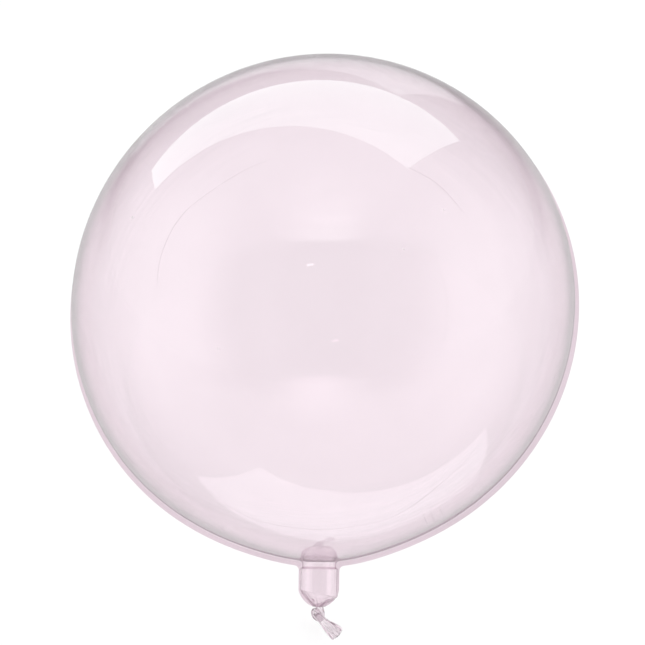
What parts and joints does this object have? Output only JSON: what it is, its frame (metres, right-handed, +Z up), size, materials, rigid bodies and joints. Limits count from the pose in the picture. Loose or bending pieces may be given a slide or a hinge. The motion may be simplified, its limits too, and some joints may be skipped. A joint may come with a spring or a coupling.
{
  "type": "clear bubble balloon",
  "caption": "Round clear film balloon, tinted pale pink, with a welded edge seam, a short neck, a pleated end, a tight knot and a flared tail, lying on a small flat spot.",
  "frame": {"origin": "middle of the small flat spot under the globe that the balloon rests on", "axes": "+Z up, -Y towards the side where the neck hangs down, X across the seam"},
  "size_m": [0.4084, 0.3999, 0.3979],
  "materials": {
    "film": "clear stretched film with a pale pink tint"
  },
  "bodies": {
    "root": {"bubble_balloon": "film"}
  },
  "joints": []
}
